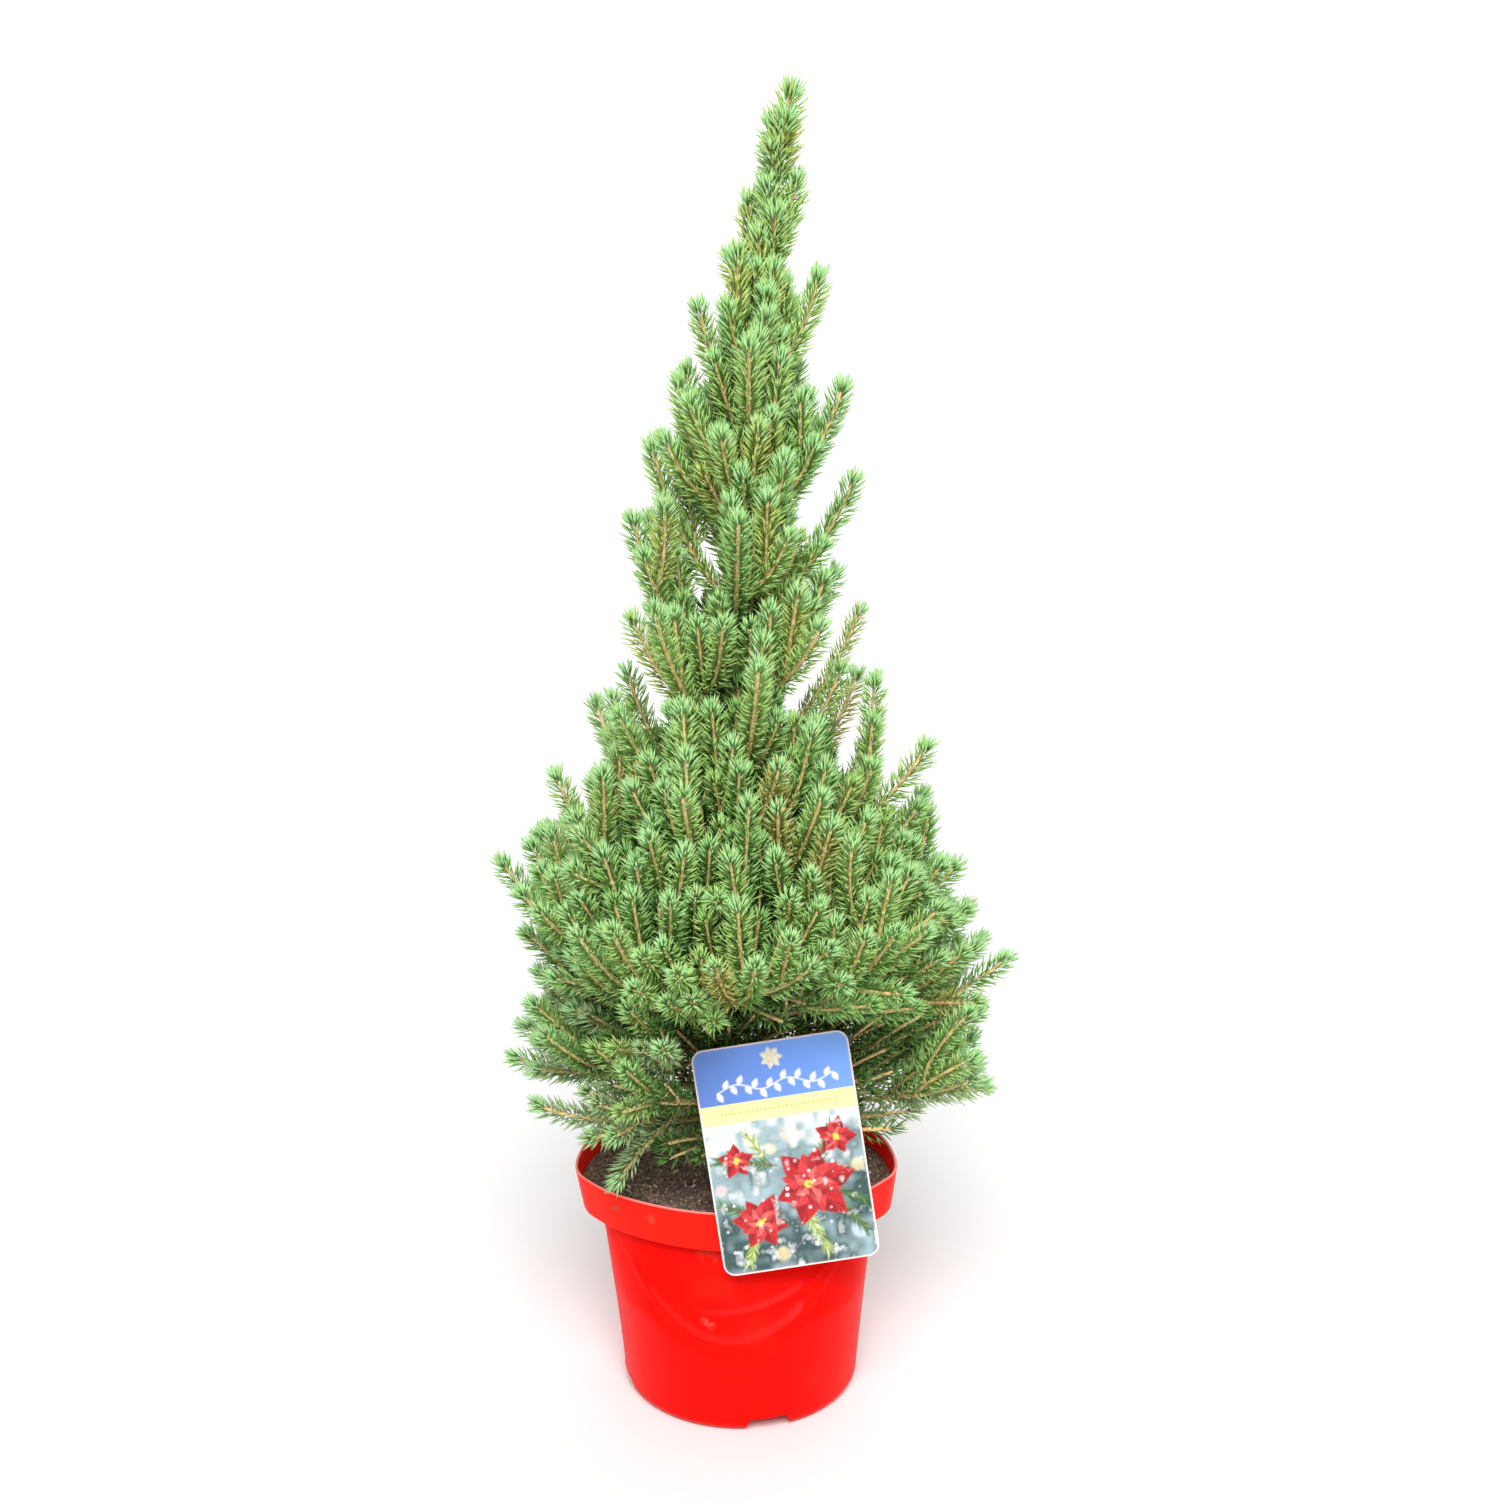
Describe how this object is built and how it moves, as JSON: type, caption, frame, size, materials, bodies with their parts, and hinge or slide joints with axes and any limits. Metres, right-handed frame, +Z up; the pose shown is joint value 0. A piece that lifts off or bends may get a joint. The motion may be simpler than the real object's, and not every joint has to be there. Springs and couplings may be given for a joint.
{
  "type": "potted dwarf alberta spruce",
  "caption": "Young cone-shaped dwarf spruce with dense upswept needled shoots in a round red plastic nursery pot pushed in at the front, with a printed card label.",
  "frame": {"origin": "middle of the pot's flat underside, on the surface that the plant stands on", "axes": "+Z up along the plant, -Y towards the front, where the label hangs, +X to its right in the picture"},
  "size_m": [0.301, 0.2751, 0.7679],
  "materials": {
    "pot": "saturated red moulded plastic with a soft sheen, scuffed and dusted with soil",
    "soil": "damp dark brown peat compost with light crumbs",
    "label": null,
    "bark": "thin scaly grey-brown bark on the trunk, orange-tan on young wood",
    "foliage": "fine needles, mid green with blue-green tips, yellower at the top"
  },
  "bodies": {
    "root": {"bough_foot_back_1": "bark", "bough_foot_back_2": "bark", "bough_foot_left": "bark", "bough_foot_right_1": "bark", "bough_foot_right_2": "bark", "bough_low_back_1": "bark", "bough_low_back_2": "bark", "bough_low_front_1": "bark", "bough_low_front_2": "bark", "bough_low_front_3": "bark", "bough_low_left": "bark", "bough_low_right": "bark", "foliage_broad_back_1": "foliage", "foliage_broad_back_2": "foliage", "foliage_broad_front_1": "foliage", "foliage_broad_front_2": "foliage", "foliage_broad_left": "foliage", "foliage_broad_right": "foliage", "foliage_crown_back_1": "foliage", "foliage_crown_back_2": "foliage", "foliage_crown_front_1": "foliage", "foliage_crown_front_2": "foliage", "foliage_crown_left_1": "foliage", "foliage_crown_left_2": "foliage", "foliage_crown_left_3": "foliage", "foliage_crown_right_1": "foliage", "foliage_crown_right_2": "foliage", "foliage_droop_front": "foliage", "foliage_foot_back_1": "foliage", "foliage_foot_back_2": "foliage", "foliage_foot_left": "foliage", "foliage_foot_right_1": "foliage", "foliage_foot_right_2": "foliage", "foliage_leader": "foliage", "foliage_lone_right_1": "foliage", "foliage_lone_right_2": "foliage", "foliage_low_back_1": "foliage", "foliage_low_back_2": "foliage", "foliage_low_front_1": "foliage", "foliage_low_front_2": "foliage", "foliage_low_front_3": "foliage", "foliage_low_left": "foliage", "foliage_low_right": "foliage", "foliage_middle_back": "foliage", "foliage_middle_front_1": "foliage", "foliage_middle_front_2": "foliage", "foliage_middle_left_1": "foliage", "foliage_middle_left_2": "foliage", "foliage_middle_right_1": "foliage", "foliage_middle_right_3": "foliage", "foliage_skirt_front_1": "foliage", "foliage_skirt_front_2": "foliage", "foliage_spire_back": "foliage", "foliage_spire_left": "foliage", "foliage_spire_right_1": "foliage", "foliage_spire_right_2": "foliage", "label": "label", "pot": "pot", "soil": "soil", "trunk": "bark"}
  },
  "joints": []
}
